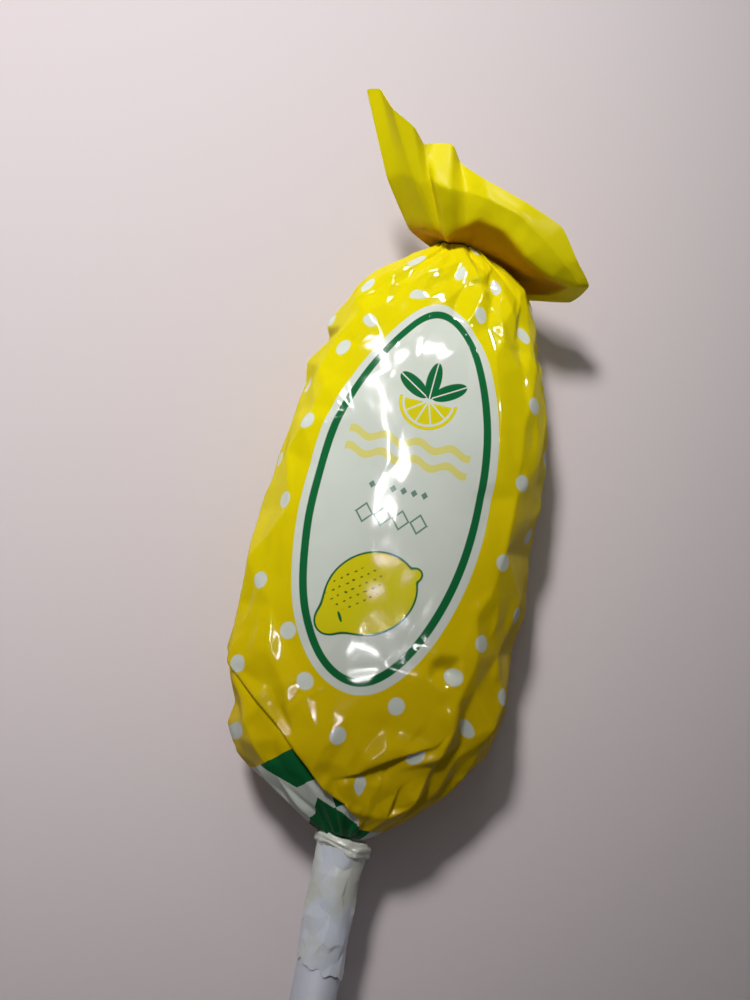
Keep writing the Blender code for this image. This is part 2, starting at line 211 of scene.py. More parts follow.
creases = {
    "seed": 23,
    "diagonalFold": [(-12.9, -12.6), (-12.0, -13.9), (-8.9, -16.6), (-6.3, -18.8), (-5.0, -20.1),
                     (-3.5, -21.4), (-1.8, -23.0), (0.3, -24.1), (1.6, -24.9)],
    "diagonalLip": 0.42,
    "tuckFold": [(-1.5, -21.9), (0.6, -21.1), (3.2, -19.4), (6.6, -17.8)],
    "tuckLip": 0.22,
    # ridges and valleys that show: x, y, height over the smooth body
    "rightRidge": [(8.3, -6.0, 0.15), (8.9, -9.9, 0.35), (7.9, -13.7, 0.55), (7.9, -16.0, 0.6),
                   (7.2, -18.9, 0.6), (5.6, -22.9, 0.5), (4.6, -24.6, 0.3)],
    "rightValley": [(9.3, -12.6, -0.1), (9.0, -14.8, -0.6), (9.2, -17.2, -0.65), (8.4, -20.0, -0.2)],
    "rightCorner": [(12.0, -12.9, 0.1), (11.3, -15.3, 0.35), (10.0, -18.9, 0.45), (8.4, -21.6, 0.35)],
    "dent": [(4.9, -11.0, 0.15), (5.7, -10.1, 0.3), (7.4, -10.0, 0.4), (7.9, -11.8, 0.35), (6.4, -13.0, 0.45),
             (5.0, -12.3, 0.3), (4.9, -11.0, 0.15)],
    "dentFloor": [(6.0, -11.3, -0.5), (6.9, -11.4, -0.75)],
    "leftTriangle": [(-8.9, -12.4, 0.1), (-7.1, -15.0, 0.3), (-5.2, -19.4, 0.25)],
    "leftHollow": [(-8.3, -15.4, -0.15), (-6.8, -17.6, -0.3)],
    "lowSheet": [(-11.6, -15.6, 0.2), (-9.9, -18.6, 0.1), (-8.6, -20.3, 0.3)],
    "lowSheetEdge": [(-11.6, -19.0, 0.3), (-10.4, -21.3, 0.35), (-7.0, -23.2, 0.3), (-3.8, -25.4, 0.2)],
    "lowSheetFold": [(-6.3, -22.9, -0.25), (-2.6, -24.8, -0.15)],
    "flap": [(-0.4, -22.4, 0.1), (-0.1, -24.0, 0.25), (3.4, -24.6, 0.5), (5.2, -23.4, 0.35)],
    "leftSideHigh": [(-11.0, 15.2, 0.35), (-9.6, 13.8, 0.1), (-8.6, 11.6, 0.2)],
    "leftSideNotch": [(-11.6, 12.9, -0.5), (-10.0, 11.9, -0.2), (-9.2, 10.0, 0.0)],
    "leftShoulder": [(-10.0, 17.6, -0.45), (-8.2, 17.9, 0.1), (-6.9, 16.2, 0.1)],
    "leftKnuckle": [(-9.2, 20.2, 0.4), (-7.4, 20.6, 0.25), (-5.6, 21.6, 0.1)],
    "labelKink": [(5.9, 17.4, 0.25), (6.3, 15.4, 0.35), (7.4, 11.2, 0.25), (7.8, 6.0, 0.15)],
    "rightStripe": [(9.6, 11.0, 0.2), (9.9, 5.0, 0.25), (9.8, 0.0, 0.2), (9.2, -4.0, 0.1)],
    "neckRidge": [(0.1, 26.5, 0.1), (-0.6, 24.8, 0.42), (-1.4, 23.5, 0.1)],
    "neckRidgeLow": [(0.9, 26.0, 0.2), (0.6, 24.0, -0.2)],
    "neckFan": [(2.1, 26.5, 0.15), (3.1, 24.7, 0.35)],
    "neckDip": [(2.2, 23.9, -0.25), (4.1, 24.1, -0.3)],
    "shoulderRidge": [(3.9, 23.3, 0.25), (3.5, 21.1, 0.4)],
    "shoulderDip": [(5.7, 25.2, -0.2), (5.0, 23.8, -0.3), (4.8, 22.1, -0.1)],
    "shoulderKnob": [(6.0, 20.3, 0.4), (6.4, 18.9, 0.3)],
    "rightDip": [(7.9, 19.8, -0.3), (8.6, 16.7, -0.25)],
    "leftRidge": [(-6.0, 21.9, 0.2), (-6.2, 19.4, 0.4)],
    "leftRidgeHigh": [(-4.5, 22.6, 0.4), (-4.7, 20.6, 0.1)],
    "fillerStep": 4.4,
    "fillerHeight": 0.58,
    "fillerRoom": 1.6,
    "fillerWander": (1.3, 1.2),
    "calm": 0.10,
    "calmFrom": 0.92,  # the label's share of its reach where the creases start to grow
    "calmWidth": 0.3,
    "endStep": (2.3, 2.4),  # closer creases where the film gathers
    "endHeight": 0.50,
    "endRoom": 1.1,
    "endWander": (0.8, 0.9),
    "endStart": 17.5,
    "endRidge": 0.35,
    "endRise": (0.35, 0.3),
    "flatFacets": 0.95,
    "flatFrom": 0.95,
    "flatWidth": 0.25,
}


def bodySection(y):
    rows = np.array(filmBody["profile"])
    stations = rows[:, 0]
    slopes = np.gradient(rows[:, 1:], stations, axis=0)
    k = int(np.clip(np.searchsorted(stations, y) - 1, 0, len(stations) - 2))
    width = stations[k + 1] - stations[k]
    f = (y - stations[k]) / width
    left, right, thick = (
        rows[k, 1:] * (1 + 2 * f) * (1 - f) ** 2 + slopes[k] * width * f * (1 - f) ** 2
        + rows[k + 1, 1:] * f * f * (3 - 2 * f) - slopes[k + 1] * width * f * f * (1 - f)
    )
    flatter = (filmBody["flatPower"] - filmBody["roundPower"]) * min(1.0, thick / filmBody["fullThick"]) ** 2
    power = filmBody["roundPower"] + flatter
    angle = math.pi - np.linspace(0.0, 2 * math.pi, filmBody["outline"] + 1)
    c, s = np.cos(angle), np.sin(angle)
    x = (right - left) / 2 + (right + left) / 2 * np.sign(c) * np.abs(c) ** (2 / power)
    share = smoothStep(0.0, filmBody["edgeBlend"], np.abs(s))
    edgePower = filmBody["edgePower"] + (power - filmBody["edgePower"]) * share
    z = thick * np.sign(s) * np.abs(s) ** (2 / edgePower)
    length = np.concatenate(([0.0], np.cumsum(np.hypot(np.diff(x), np.diff(z)))))
    return x, z, length


def onBody(across, y):
    x, z, length = bodySection(y)
    along = (length[-1] / 4 + across / filmBody["filmHalfWidth"] * length[-1] / 2) % length[-1]
    px, pz = np.interp(along, length, x), np.interp(along, length, z)
    nx, nz = -np.interp(along, length, np.gradient(z)), np.interp(along, length, np.gradient(x))
    size = np.hypot(nx, nz)
    points = np.stack((px, np.full_like(px, y), pz + filmBody["axisHeight"]), axis=-1)
    normals = np.stack((nx / size, np.zeros_like(px), nz / size), axis=-1)
    return points, normals


def acrossFrom(x, y):  # place round the film of a point on the upper side
    xs, _, length = bodySection(y)
    half = len(xs) // 2
    spot = float(np.interp(x, xs[: half + 1], length[: half + 1]))
    return (spot - length[-1] / 4) / (length[-1] / 2) * filmBody["filmHalfWidth"]


def calmAt(across, y):
    centre, reach = filmBody["labelCentre"], filmBody["labelReach"]
    away = math.hypot((across - centre[0]) / reach[0], (y - centre[1]) / reach[1])
    return min(1.0, max(0.0, (away - creases["calmFrom"]) / creases["calmWidth"]))


# distance past the fold, height, and how far the film is drawn along: the lip first, then what lies under it
foldShape = {"atEnds": 0.3, "steps": [(0.0, None, 0.35), (0.5, -0.25, -0.40), (1.5, -0.12, -0.35)]}


def foldRows(route, lip):
    # the lip hangs over the lower film, which starts again underneath it
    rows = []
    for k, (x, y) in enumerate(route):
        ahead = Vector(route[min(k + 1, len(route) - 1)]) - Vector(route[max(k - 1, 0)])
        out = Vector((ahead.y, -ahead.x)).normalized()
        fade = foldShape["atEnds"] if k in (0, len(route) - 1) else 1.0
        rows.append([
            (x + out.x * away, y + out.y * away, (height or lip) * fade, out * shift * fade)
            for away, height, shift in foldShape["steps"]
        ])
    return rows


def creaseNet():
    draw = random.Random(creases["seed"])
    spots, lines = [], []

    def addSpot(x, y, height, shift=(0.0, 0.0)):
        spots.append((acrossFrom(x, y), y, height, acrossFrom(x + shift[0], y + shift[1]), y + shift[1]))
        return len(spots) - 1

    for route, lip in (("diagonalFold", "diagonalLip"), ("tuckFold", "tuckLip")):
        before = None
        for row in foldRows(creases[route], creases[lip]):
            now = [addSpot(*spot) for spot in row]
            if before:
                lines += list(zip(before, now))
            before = now
    for name, route in creases.items():
        if isinstance(route, list) and len(route[0]) == 3:
            now = [addSpot(*spot) for spot in route]
            lines += list(zip(now, now[1:]))
    named = np.array([spot[:2] for spot in spots])
    half = filmBody["filmHalfWidth"]
    first, last = filmBody["profile"][0][0], filmBody["profile"][-1][0]

    def addFiller(across, y, height, room):
        if np.hypot(named[:, 0] - across, named[:, 1] - y).min() > room:
            spots.append((across, y, height, across, y))

    step = creases["fillerStep"]
    sideways, lengthways = creases["fillerWander"]
    for row in range(round(2 * creases["endStart"] / step) + 1):
        y = -creases["endStart"] + row * step
        for column in range(math.ceil(2 * half / step) + 1):
            across = -half + (column + 0.5 * (row % 2)) * step + draw.uniform(-sideways, sideways)
            calm = calmAt(across, y)
            height = draw.uniform(-1, 1) * creases["fillerHeight"] * max(creases["calm"], calm)
            addFiller(across, y + draw.uniform(-lengthways, lengthways), height, creases["fillerRoom"])
    stepAcross, stepAlong = creases["endStep"]
    sideways, lengthways = creases["endWander"]
    for side in (-1, 1):
        far = last if side > 0 else -first
        for row in range(1, math.ceil((far - creases["endStart"]) / stepAlong) + 1):
            for column in range(math.ceil(2 * half / stepAcross)):
                across = -half + (column + 0.5 * (row % 2)) * stepAcross + draw.uniform(-sideways, sideways)
                y = creases["endStart"] + row * stepAlong + draw.uniform(-lengthways, lengthways)
                y = side * min(far, y)
                ridge = 1 if (column + row // 2) % 2 else -1
                uneven = (1 - creases["endRidge"]) * draw.uniform(-1, 1)
                height = creases["endHeight"] * (creases["endRidge"] * ridge + uneven)
                height *= min(1.0, creases["endRise"][0] + row * creases["endRise"][1])
                height *= 0.5 if abs(y) > far - 1 else 1.0
                addFiller(across, y, height, creases["endRoom"])
    for across in (-half - 3, half + 3):
        for y in (first - 3, last + 3):
            spots.append((across, y, 0.0, across, y))
    flat, _, faces, source, _, _ = delaunay_2d_cdt([Vector(s[:2]) for s in spots], lines, [], 0, 1e-5)
    values = []
    for place, origin in zip(flat, source):
        across, y, height, movedAcross, movedY = spots[origin[0]] if origin else (*place, 0.0, *place)
        y, movedY = np.clip((y, movedY), first, last)
        point, normal = onBody(np.array([movedAcross]), movedY)
        values.append((*(point[0] + height * normal[0]), height))
    return flat, faces, np.array(values)


def sampleNet(flat, faces, values, across, along):
    tree = BVHTree.FromPolygons([Vector((p[0], p[1], 0.0)) for p in flat], faces)
    corners = np.array([[tuple(flat[i]) for i in face] for face in faces])
    found = np.zeros((len(across), values.shape[1]))
    for i in range(len(across)):
        _, _, index, _ = tree.ray_cast(Vector((across[i], along[i], 1.0)), Vector((0, 0, -1)))
        if index is None:
            _, _, index, _ = tree.find_nearest(Vector((across[i], along[i], 0.0)))
        a, b, c = corners[index]
        area = (b[0] - a[0]) * (c[1] - a[1]) - (c[0] - a[0]) * (b[1] - a[1])
        wb = ((across[i] - a[0]) * (c[1] - a[1]) - (c[0] - a[0]) * (along[i] - a[1])) / area
        wc = ((b[0] - a[0]) * (along[i] - a[1]) - (across[i] - a[0]) * (b[1] - a[1])) / area
        ia, ib, ic = faces[index]
        found[i] = values[ia] * (1 - wb - wc) + values[ib] * wb + values[ic] * wc
    return found


def fineCreases(across, along, step, seed, stretch=1.0, wander=0.38):
    # heights from -1 to 1 on small flat facets
    draw = random.Random(seed)
    lowA, lowB = across.min() - step, along.min() - step * stretch
    spots, values = [], []
    for row in range(math.ceil((along.max() + step * stretch - lowB) / (step * stretch)) + 1):
        for column in range(math.ceil((across.max() + step - lowA) / step) + 1):
            a = lowA + (column + 0.5 * (row % 2) + draw.uniform(-wander, wander)) * step
            b = lowB + (row + draw.uniform(-wander, wander)) * step * stretch
            spots.append(Vector((a, b)))
            values.append((draw.uniform(-1, 1),))
    flat, _, faces, source, _, _ = delaunay_2d_cdt(spots, [], [], 0, 1e-5)
    ordered = np.array([values[origin[0]] for origin in source])
    return sampleNet(flat, faces, ordered, across, along)[:, 0]


def smoothed(places, u, v, piece, times):  # the grid's rows run round the film, and its columns along
    order = np.lexsort((u.round(6), v.round(6)))
    field = places[order].reshape(piece["rows"] + 1, piece["columns"] + 1, 3)
    field[:, -1] = field[:, 0]
    for _ in range(times):
        body = field[:, :-1]
        body = (np.roll(body, 1, axis=1) + 2 * body + np.roll(body, -1, axis=1)) / 4
        field = np.concatenate((body, body[:, :1]), axis=1)
        inner = (field[:-2] + 2 * field[1:-1] + field[2:]) / 4
        field = np.concatenate((field[:1], inner, field[-1:]), axis=0)
    places[order] = field.reshape(-1, 3)
    return places


def foldSide(x, y):  # how far a point lies past the diagonal fold, on the side of the lower sheet
    route = np.array(creases["diagonalFold"])
    fold = np.interp(x, route[:, 0], route[:, 1])
    return fold - y


# the sheet under the diagonal fold shows the end of the print, turned
lowSheetPrint = {
    "pivot": (-6.8, -21.3), "turn": 33.5, "column": 4.6,
    "past": 0.3, "leftOf": 1.5, "above": 3.0, "below": -13,
}
filmShift = {"high": (16.0, 20.0), "clear": 0.1, "past": (1.0, 1.12), "shift": (1.3, 0.9)}
fineFilm = {
    "step": 1.3, "height": 0.13, "stretch": 1.6, "smooth": 1,
    "calm": 0.13, "calmFrom": 0.9, "calmWidth": 0.5, "atEnds": 1.3, "endsFrom": 14, "endsWidth": 6,
}


def smoothStep(low, high, value):
    f = np.clip((value - low) / (high - low), 0, 1)
    return f * f * (3 - 2 * f)


def shiftedMap(across, along):  # the gathered film at the neck draws the print up and over
    x, y = across - filmPrint["centre"][0], along - filmPrint["centre"][1]
    halfX, halfY = (half + filmPrint["rim"] + filmShift["clear"] for half in filmPrint["oval"])
    top = smoothStep(*filmShift["high"], along)
    top = top * smoothStep(*filmShift["past"], np.hypot(x / halfX, y / halfY))
    return across + filmShift["shift"][0] * top, along + filmShift["shift"][1] * top


def makeFilmBody():
    grid, u, v = addGrid("filmBody", filmBody["columns"], filmBody["rows"])
    half = filmBody["filmHalfWidth"]
    first, last = filmBody["profile"][0][0], filmBody["profile"][-1][0]
    across = half * u * (1 - filmBody["denseTop"] + filmBody["denseTop"] * u * u)
    bend = filmBody["denseEnds"]
    along = (first + last) / 2 + (last - first) / 2 * v * (1 + bend - bend * v * v)
    flat, faces, values = creaseNet()
    found = sampleNet(flat, faces, values, across, along)
    smooth, normal = np.zeros((len(u), 3)), np.zeros((len(u), 3))
    levels, level = np.unique(along.round(6), return_inverse=True)
    for k, y in enumerate(levels):
        here = level == k
        smooth[here], normal[here] = onBody(across[here], float(np.clip(y, first, last)))
    curved = smooth + found[:, 3:4] * normal
    centre, reach = filmBody["labelCentre"], filmBody["labelReach"]
    away = np.hypot((across - centre[0]) / reach[0], (along - centre[1]) / reach[1])
    facets = creases["flatFacets"] * np.clip((away - creases["flatFrom"]) / creases["flatWidth"], 0, 1)
    places = curved * (1 - facets[:, None]) + found[:, :3] * facets[:, None]
    loose = np.clip((away - fineFilm["calmFrom"]) / fineFilm["calmWidth"], fineFilm["calm"], 1)
    ends = np.clip((np.abs(along) - fineFilm["endsFrom"]) / fineFilm["endsWidth"], 0, 1)
    ends = 1 + fineFilm["atEnds"] * ends
    fine = fineCreases(across, along, fineFilm["step"], creases["seed"] + 1, fineFilm["stretch"])
    places += (fine * fineFilm["height"] * loose * ends)[:, None] * normal
    places = smoothed(places, u, v, filmBody, fineFilm["smooth"])
    places[:, 2] = np.maximum(places[:, 2], 0.0)
    low = (foldSide(smooth[:, 0], along) > lowSheetPrint["past"]) & (smooth[:, 0] < lowSheetPrint["leftOf"])
    low &= (smooth[:, 2] > lowSheetPrint["above"]) & (along < lowSheetPrint["below"])
    turn = math.radians(lowSheetPrint["turn"])
    dx, dy = smooth[:, 0] - lowSheetPrint["pivot"][0], along - lowSheetPrint["pivot"][1]
    lowMap = (
        dx * math.cos(turn) + dy * math.sin(turn) + lowSheetPrint["column"],
        filmPrint["endStart"] - dx * math.sin(turn) + dy * math.cos(turn),
    )
    moveVertices(grid, places)
    giveMap(grid, shiftedMap(across, along), lowMap, low.astype(float))
    closeSeam(grid)
    closeEnds(grid)
    shadeSmooth(grid, 60)
    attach(grid, "root")
    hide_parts("wrapper")
    return grid


# Flared tail

tail = {
    "columns": 420,
    "rows": 96,
    # ribs from the left tip, over the bump and the right wing, to the lip below it
    "foot": [
        (-2.5, 28.6, 6.6), (-2.0, 28.9, 7.0), (-1.5, 28.8, 7.4), (-1.0, 28.7, 7.7), (-0.6, 28.6, 7.9),
        (-0.3, 28.5, 8.0), (0.2, 28.4, 8.1), (0.8, 28.4, 8.2), (1.5, 28.4, 8.1), (3.1, 28.1, 8.0),
        (5.0, 27.7, 7.4), (6.2, 27.2, 7.0), (7.1, 26.7, 6.5), (7.7, 26.3, 5.8), (7.4, 26.2, 5.2),
    ],
    "crest": [
        (-4.2, 29.2, 8.0), (-3.2, 29.1, 8.9), (-2.4, 28.9, 9.6), (-1.6, 28.8, 10.0), (-1.0, 28.6, 10.0),
        (-0.4, 28.1, 10.2), (0.3, 28.7, 10.8), (1.2, 29.2, 11.2), (2.3, 29.5, 12.3), (4.6, 28.6, 13.0),
        (7.0, 26.7, 12.4), (9.5, 25.7, 11.0), (11.3, 25.6, 9.6), (10.0, 25.8, 6.4), (7.8, 25.8, 5.2),
    ],
    "wing": [
        (-6.9, 32.4, 11.3), (-5.9, 32.8, 12.3), (-4.4, 32.2, 12.9), (-3.3, 31.7, 12.8), (-2.8, 32.4, 12.8),
        (-2.3, 31.8, 13.6), (-0.8, 31.4, 13.8), (0.6, 31.8, 12.9), (2.8, 31.0, 14.0), (5.6, 30.0, 14.2),
        (8.4, 28.4, 13.2), (10.7, 26.9, 12.0), (12.5, 25.7, 10.2), (11.4, 25.6, 6.0), (8.2, 25.5, 4.9),
    ],
    "edge": [
        (-10.1, 39.2, 14.4), (-8.8, 39.3, 14.9), (-7.3, 37.3, 15.6), (-5.2, 36.2, 15.2), (-4.0, 35.3, 13.6),
        (-3.1, 35.8, 13.2), (-1.4, 35.9, 13.4), (-0.4, 34.6, 12.6), (2.3, 32.8, 13.9), (6.1, 31.4, 13.9),
        (9.8, 30.0, 13.0), (11.7, 27.6, 11.9), (13.4, 26.1, 9.8), (12.3, 25.7, 5.6), (8.2, 25.5, 4.6),
    ],
    "stations": [0.0, 0.14, 0.40, 0.68, 1.0],
    "ribRound": 0.35,
    "runRound": 0.35,
    "neckX": 0.8,
    "neckY": 27.9,
    "neckRadius": (1.9, 1.8),
    "neckPleats": 11,
    "back": (0.05, 0.38, -0.92),
    "gap": 0.6,
    "gapAtNeck": 2.4,
    "gapRise": 30,
    "pleatDepth": 0.16,
    "flat": (34, 17),
    "backFrom": 60,
    "mapX": 32,
    "mapY": (28, 16),
    "crinkleStep": 2.3,
    "crinkle": 0.10,
    "crinkleRise": 4,
    "crinkleEase": 1.5,
    "seed": 71,
    "stretch": 1.5,
    "smooth": 2,
    "wall": 0.05,
}


def easedCurve(before, a, b, after, t, roundness):
    # straight from a to b with the corners eased, where roundness 1 is a smooth curve through all the points
    t = t[:, None]
    bend = 2 * a + (b - before) * t + (2 * before - 5 * a + 4 * b - after) * t**2
    curve = (bend + (3 * a - before - 3 * b + after) * t**3) / 2
    return curve * roundness + (a + (b - a) * t) * (1 - roundness)


def makeTail():
    grid, u, v = addGrid("filmTail", tail["columns"], tail["rows"])
    edge = np.array(tail["edge"])
    lengths = np.concatenate(([0.0], np.cumsum(np.linalg.norm(np.diff(edge, axis=0), axis=1) + 0.5)))
    turn = (u + 1) / 2  # once round the flattened tube: the front from left to right, then the back
    share = 1 - np.abs(2 * turn - 1)
    rib = np.interp(share, lengths / lengths[-1], np.arange(len(edge)))
    isBack = turn > 0.5
    run = (v + 1) / 2
    back = np.array(tail["back"]) / np.linalg.norm(tail["back"])
    gap = tail["gap"] + (tail["gapAtNeck"] - tail["gap"]) * (1 - run) ** 2
    gap = gap * np.clip(share * (1 - share) * tail["gapRise"], 0, 1) * isBack
    angle = math.pi - 2 * math.pi * turn
    pleat = 1 + tail["pleatDepth"] * np.cos(tail["neckPleats"] * angle)
    neck = np.stack((
        tail["neckX"] + tail["neckRadius"][0] * pleat * np.cos(angle),
        np.full_like(u, tail["neckY"]),
        filmBody["axisHeight"] + tail["neckRadius"][1] * pleat * np.sin(angle),
    ), axis=1)
    shift = gap[:, None] * back
    k = np.minimum(rib.astype(int), len(edge) - 2)
    stations = [neck]
    for name in ("foot", "crest", "wing", "edge"):
        points = [np.array(tail[name])[np.clip(k + step, 0, len(edge) - 1)] for step in (-1, 0, 1, 2)]
        stations.append(easedCurve(*points, rib - k, tail["ribRound"]) + shift)
    stations, pick = np.stack(stations), np.arange(len(u))
    spot = np.interp(run, tail["stations"], np.arange(5.0))
    k = np.minimum(spot.astype(int), 3)
    points = [stations[np.clip(k + step, 0, 4), pick] for step in (-1, 0, 1, 2)]
    places = easedCurve(*points, spot - k, tail["runRound"])
    wide, long = tail["flat"]
    fine = fineCreases(share * wide + isBack * tail["backFrom"], run * long, tail["crinkleStep"],
                       tail["seed"], tail["stretch"])
    fine = fine * tail["crinkle"] * np.clip(run * tail["crinkleRise"], 0, 1) * (tail["crinkleEase"] - run)
    places += fine[:, None] * -back
    moveVertices(grid, smoothed(places, u, v, tail, tail["smooth"]))
    giveMap(grid, ((share - 0.5) * tail["mapX"], tail["mapY"][0] + run * tail["mapY"][1]))
    closeSeam(grid)
    giveWall(grid, tail["wall"])
    shadeSmooth(grid, 60)
    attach(grid, "root")
    return grid


# Film gathered on the stick

stickValues = {"x": 0.3, "radius": 2.0, "startY": -27.7, "endY": -92.0, "sides": 128, "edge": 0.22}

# waves are a height, how many go round, and where they start
collar = {
    "sides": (220, 44),
    "radius": 2.02,
    "thick": 0.46,
    "y": -27.65,
    "lean": 0.16,
    "squash": (0.9, 1.25),
    "uneven": [(0.14, 2, 0.6), (0.08, 5, 2.0)],
    "edgeWaves": [(0.10, 3, 1.1)],
    "layers": 7,
    "layerHeight": 0.12,
    "layerWaves": [(0.8, 1, 0.4)],
    "crumple": 0.20,
    "crumpleStep": 0.95,
    "flat": (2.4, 0.8),
    "seed": 53,
    "stretch": 0.8,
}

sleeve = {
    "columns": 260,
    "rows": 150,
    "startY": -27.9,
    "endY": -38.3,
    "slant": 0.65,
    "ragged": 0.28,
    "radius": 2.04,
    "flat": (13.4, 11.0),
    "flare": 0.12,
    "flareEnd": 0.25,
    "joinFrom": 0.88,
    "joinWidth": 0.12,
    "crinkle": 0.24,
    "crinkleStep": 0.95,
    "seed": 37,
    "stretch": 1.5,
    "wall": 0.05,
}


def waves(angle, rows, start=0):
    return sum((height * np.sin(count * angle + shift) for height, count, shift in rows), start)


def makeCollar():
    deselectAll()
    bpy.ops.mesh.primitive_torus_add(
        major_segments=collar["sides"][0], minor_segments=collar["sides"][1],
        major_radius=collar["radius"] * mm, minor_radius=collar["thick"] * mm,
    )
    ring = newest("filmCollar")
    place = verticesOf(ring) / mm
    angle = np.arctan2(place[:, 1], place[:, 0])
    out = np.hypot(place[:, 0], place[:, 1]) - collar["radius"]
    roll = np.arctan2(place[:, 2], out)
    uneven = waves(angle, collar["uneven"], 1)
    layer = np.abs(np.sin(collar["layers"] * roll / 2 + waves(angle, collar["layerWaves"])))
    layer = collar["layerHeight"] * layer
    around = (angle + math.pi / 2) % (2 * math.pi)  # from the underside
    flatX, flatY = around * collar["flat"][0], roll * collar["flat"][1]
    fine = fineCreases(flatX, flatY, collar["crumpleStep"], collar["seed"], collar["stretch"])
    size = (collar["thick"] + layer + fine * collar["crumple"] * np.sin(around / 2)) * uneven
    reach = collar["radius"] + size * np.cos(roll) * collar["squash"][0]
    x = reach * np.cos(angle)
    z = reach * np.sin(angle)
    y = collar["y"] + size * np.sin(roll) * collar["squash"][1] - collar["lean"] * x
    y = y + waves(angle, collar["edgeWaves"])
    moveVertices(ring, np.stack((x + stickValues["x"], y, z + filmBody["axisHeight"]), axis=1))
    closeSeam(ring, 0.0001)
    shadeSmooth(ring, 70)
    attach(ring, "root")
    return ring


def makeSleeve():
    grid, u, v = addGrid("filmSleeve", sleeve["columns"], sleeve["rows"])
    turn, run = (u + 1) / 2, (v + 1) / 2
    angle = math.pi - 2 * math.pi * turn
    around, along = turn * sleeve["flat"][0], run * sleeve["flat"][1]
    twice = np.concatenate((around, around + sleeve["flat"][0]))
    fine = fineCreases(twice, np.concatenate((along, along)), sleeve["crinkleStep"],
                       sleeve["seed"], sleeve["stretch"])[: len(u)]
    order = np.lexsort((u.round(6), v.round(6)))
    field = fine[order].reshape(sleeve["rows"] + 1, sleeve["columns"] + 1)
    blend = np.clip((turn[order].reshape(field.shape) - sleeve["joinFrom"]) / sleeve["joinWidth"], 0, 1)
    fine[order] = (field * (1 - blend) + field[:, :1] * blend).ravel()  # the last column meets the first
    flared = sleeve["flare"] * np.clip(1 - run / sleeve["flareEnd"], 0, 1)
    radius = sleeve["radius"] + sleeve["crinkle"] * (0.5 + 0.5 * fine) + flared
    ragged = sleeve["ragged"] * (np.sin(5 * angle + 1.0) * np.cos(3 * angle) + 0.4 * np.sin(13 * angle))
    end = sleeve["endY"] - sleeve["slant"] * np.cos(angle) + ragged
    y = sleeve["startY"] + run * (end - sleeve["startY"])
    places = np.stack((
        stickValues["x"] + radius * np.cos(angle), y, filmBody["axisHeight"] + radius * np.sin(angle),
    ), axis=1)
    moveVertices(grid, places)
    giveMap(grid, (around, along))
    closeSeam(grid)
    giveWall(grid, sleeve["wall"])
    shadeSmooth(grid, 50)
    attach(grid, "root")
    return grid


def makeStick():
    deselectAll()
    length = stickValues["startY"] - stickValues["endY"]
    middle = (stickValues["startY"] + stickValues["endY"]) / 2
    bpy.ops.mesh.primitive_cylinder_add(
        vertices=stickValues["sides"], radius=stickValues["radius"] * mm, depth=length * mm,
        location=(stickValues["x"] * mm, middle * mm, filmBody["axisHeight"] * mm),
        rotation=(math.pi / 2, 0, 0),
    )
    rod = newest("paperStick")
    bpy.ops.object.transform_apply(location=True, rotation=True, scale=True)
    rim = rod.modifiers.new("rim", "BEVEL")
    rim.width = stickValues["edge"] * mm
    rim.segments = 3
    rim.limit_method = "ANGLE"
    rim.angle_limit = math.radians(60)
    bpy.ops.object.modifier_apply(modifier="rim")
    shadeSmooth(rod, 40)
    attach(rod, "root")
    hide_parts("stick")
    return rod


# Node helpers for materials

class NodeDesk:
    def __init__(self, tree):
        self.tree = tree

    def add(self, kind, **settings):
        node = self.tree.nodes.new(kind)
        for name, value in settings.items():
            setattr(node, name, value)
        return node

    def plug(self, socket, value):
        if isinstance(value, bpy.types.NodeSocket):
            self.tree.links.new(value, socket)
        else:
            socket.default_value = value

    def math(self, operation, *values):
        node = self.add("ShaderNodeMath", operation=operation)
        for socket, value in zip(node.inputs, values):
            self.plug(socket, value)
        return node.outputs[0]

    def times(self, a, b):
        return self.math("MULTIPLY", a, b)

    def plus(self, a, b):
        return self.math("ADD", a, b)

    def minus(self, a, b):
        return self.math("SUBTRACT", a, b)

    def over(self, a, b):
        return self.math("DIVIDE", a, b)

    def mix(self, factor, a, b):
        node = self.add("ShaderNodeMix", data_type="RGBA")
        self.plug(node.inputs[0], factor)
        self.plug(node.inputs[6], a)
        self.plug(node.inputs[7], b)
        return node.outputs[2]

    def blend(self, factor, a, b):
        node = self.add("ShaderNodeMix", data_type="FLOAT")
        self.plug(node.inputs[0], factor)
        self.plug(node.inputs[2], a)
        self.plug(node.inputs[3], b)
        return node.outputs[0]

    def joined(self, x, y):
        node = self.add("ShaderNodeCombineXYZ")
        self.plug(node.inputs[0], x)
        self.plug(node.inputs[1], y)
        return node.outputs[0]

    def ramp(self, value, low, high, first=0.0, last=1.0, kind="SMOOTHSTEP"):
        node = self.add("ShaderNodeMapRange", interpolation_type=kind)
        for socket, setting in zip(node.inputs, (value, low, high, first, last)):
            self.plug(socket, setting)
        return node.outputs[0]

    def inside(self, distance, soft=0.06):  # 1 where a distance is below 0
        return self.ramp(distance, soft / 2, -soft / 2, kind="LINEAR")

    def use(self, group, *values):
        node = self.add("ShaderNodeGroup", node_tree=group)
        for socket, value in zip(node.inputs, values):
            self.plug(socket, value)
        return node.outputs[0]

    def parts(self, vector):
        node = self.add("ShaderNodeSeparateXYZ")
        self.plug(node.inputs[0], vector)
        return node.outputs

    def bump(self, height, strength, distance):
        node = self.add("ShaderNodeBump")
        node.inputs["Strength"].default_value = strength
        node.inputs["Distance"].default_value = distance * mm
        self.plug(node.inputs["Height"], height)
        return node.outputs[0]

    def noise(self, vector, scale, detail=3.0, roughness=0.5):
        node = self.add("ShaderNodeTexNoise")
        self.plug(node.inputs["Vector"], vector)
        node.inputs["Scale"].default_value = scale
        node.inputs["Detail"].default_value = detail
        node.inputs["Roughness"].default_value = roughness
        return node.outputs[0]


